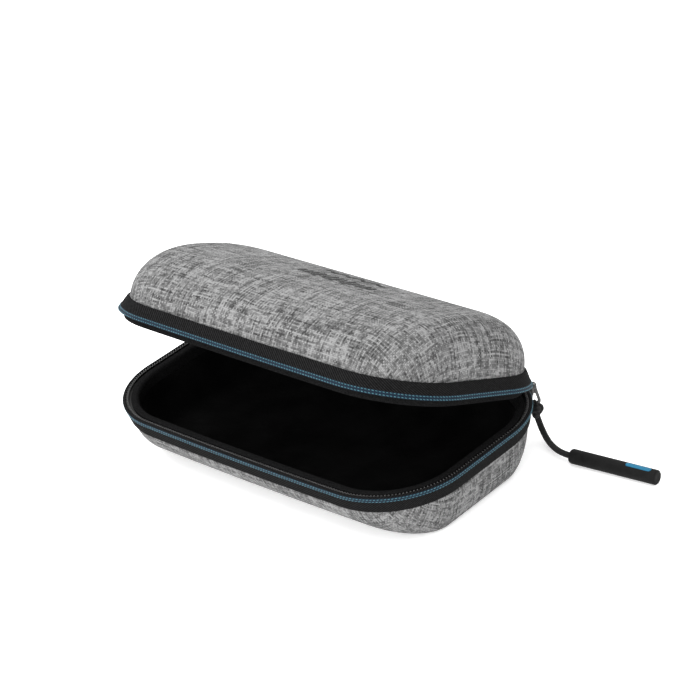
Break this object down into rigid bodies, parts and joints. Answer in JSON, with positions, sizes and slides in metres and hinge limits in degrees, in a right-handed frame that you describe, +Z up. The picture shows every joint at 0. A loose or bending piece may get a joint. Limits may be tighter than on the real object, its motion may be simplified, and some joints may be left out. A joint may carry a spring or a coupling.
{
  "type": "headphone carrying case",
  "caption": "Hard-shell zip case for headphones: rounded oblong halves in heather fabric, hinged lid part open, blue-stitched zip, cord pull.",
  "frame": {"origin": "centre of the flat underside", "axes": "+X along the length, towards the end where the open zip slider parks; +Y towards the hinged back, so -Y is the opening front; +Z up out of the base"},
  "size_m": [0.2533, 0.1181, 0.0951],
  "materials": {
    "heather_fabric": "matte",
    "foam": "matte",
    "velvet": "matte",
    "felt": "matte",
    "zip_tape": "matte",
    "blue_thread": "matte",
    "coil": "satin",
    "black_metal": "satin",
    "motif_thread": "matte",
    "cord": "matte",
    "grip_rubber": "matte",
    "blue_plastic": "satin"
  },
  "bodies": {
    "base": {"base_cover": "heather_fabric", "base_shell": "foam", "base_lining": "velvet", "base_binding": "felt", "base_zip_tape": "zip_tape", "base_zip_stitching": "blue_thread", "base_zip_coil": "coil", "base_zip_stop_right": "black_metal", "base_zip_stop_left": "black_metal", "hinge_panel_lower": "zip_tape", "hinge_lining_lower": "felt"},
    "lid": {"lid_cover": "heather_fabric", "lid_shell": "foam", "lid_lining": "velvet", "lid_binding": "felt", "lid_zip_tape": "zip_tape", "lid_zip_stitching": "blue_thread", "lid_zip_coil": "coil", "lid_zip_stop_right": "black_metal", "lid_zip_stop_left": "black_metal", "hinge_panel_upper": "zip_tape", "hinge_lining_upper": "felt", "lid_motif": "motif_thread"},
    "slider": {"slider_body": "black_metal"},
    "puller": {"puller_tab": "black_metal"},
    "cord_pull": {"cord_loop": "cord", "cord_knot": "cord", "pull_cord": "cord", "pull_grip": "grip_rubber", "grip_inlay": "blue_plastic"}
  },
  "joints": [
    {"name": "lid_hinge", "type": "hinge", "parent": "base", "child": "lid", "pos_m": [0, 0.0573, 0.0308], "axis": [-1, 0, 0], "range_deg": [-24.6, 125.4]},
    {"name": "slider_travel", "type": "hinge", "parent": "base", "child": "slider", "pos_m": [0.062, 0.0183, 0.029], "axis": [0, 0, -1], "range_deg": [0, 45]},
    {"name": "puller_swing", "type": "hinge", "parent": "slider", "child": "puller", "pos_m": [0.0805, 0.05623, 0.0284], "axis": [0.8988, -0.4384, 0], "range_deg": [0, 60]},
    {"name": "cord_swing", "type": "hinge", "parent": "puller", "child": "cord_pull", "pos_m": [0.0805, 0.05623, 0.01965], "axis": [0.8988, -0.4384, 0], "range_deg": [0, 30]}
  ]
}
